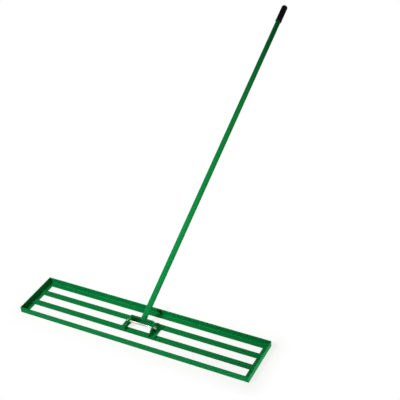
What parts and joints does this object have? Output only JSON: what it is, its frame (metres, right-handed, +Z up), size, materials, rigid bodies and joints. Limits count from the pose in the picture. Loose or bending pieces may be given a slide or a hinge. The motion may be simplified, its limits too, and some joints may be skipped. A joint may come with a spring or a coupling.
{
  "type": "lawn leveling rake",
  "caption": "Lawn leveling rake: a flat rectangular frame of green angle iron with flat inner bars, tilted on a bolt by a long sectional tube handle with a black grip.",
  "frame": {"origin": "on the ground, at the middle of the rectangle that the rake covers as it is set down, from the head's front wall to the grip's end", "axes": "+X along the head's long side, +Y back along the handle from the head to the grip, +Z up"},
  "size_m": [1.219, 1.9368, 0.9369],
  "materials": {
    "green_coat": "smooth green powder coat on steel, semi-gloss",
    "zinc": "bright zinc plated steel fasteners",
    "nylon": "nylon locking ring in the nut",
    "grip_rubber": "matt black moulded rubber"
  },
  "bodies": {
    "head": {"front_angle": "green_coat", "back_angle": "green_coat", "left_end_angle": "green_coat", "right_end_angle": "green_coat", "front_bar": "green_coat", "rear_bar": "green_coat", "left_lug": "green_coat", "right_lug": "green_coat", "corner_welds": "green_coat", "bar_welds": "green_coat", "lug_welds": "green_coat", "pivot_bolt": "zinc", "bolt_washers": "zinc", "pivot_nut": "zinc", "nut_insert": "nylon"},
    "handle": {"yoke": "green_coat", "foot_weld_ring": "green_coat", "lower_tube": "green_coat", "middle_tube": "green_coat", "upper_tube": "green_coat", "lower_joint_bush": "zinc", "lower_joint_stud": "zinc", "upper_joint_bush": "zinc", "upper_joint_stud": "zinc", "grip": "grip_rubber"}
  },
  "joints": [
    {"name": "handle_tilt", "type": "hinge", "parent": "head", "child": "handle", "pos_m": [0, -0.8414, 0.025], "axis": [1, 0, 0], "range_deg": [-17.5, 144.5]}
  ]
}
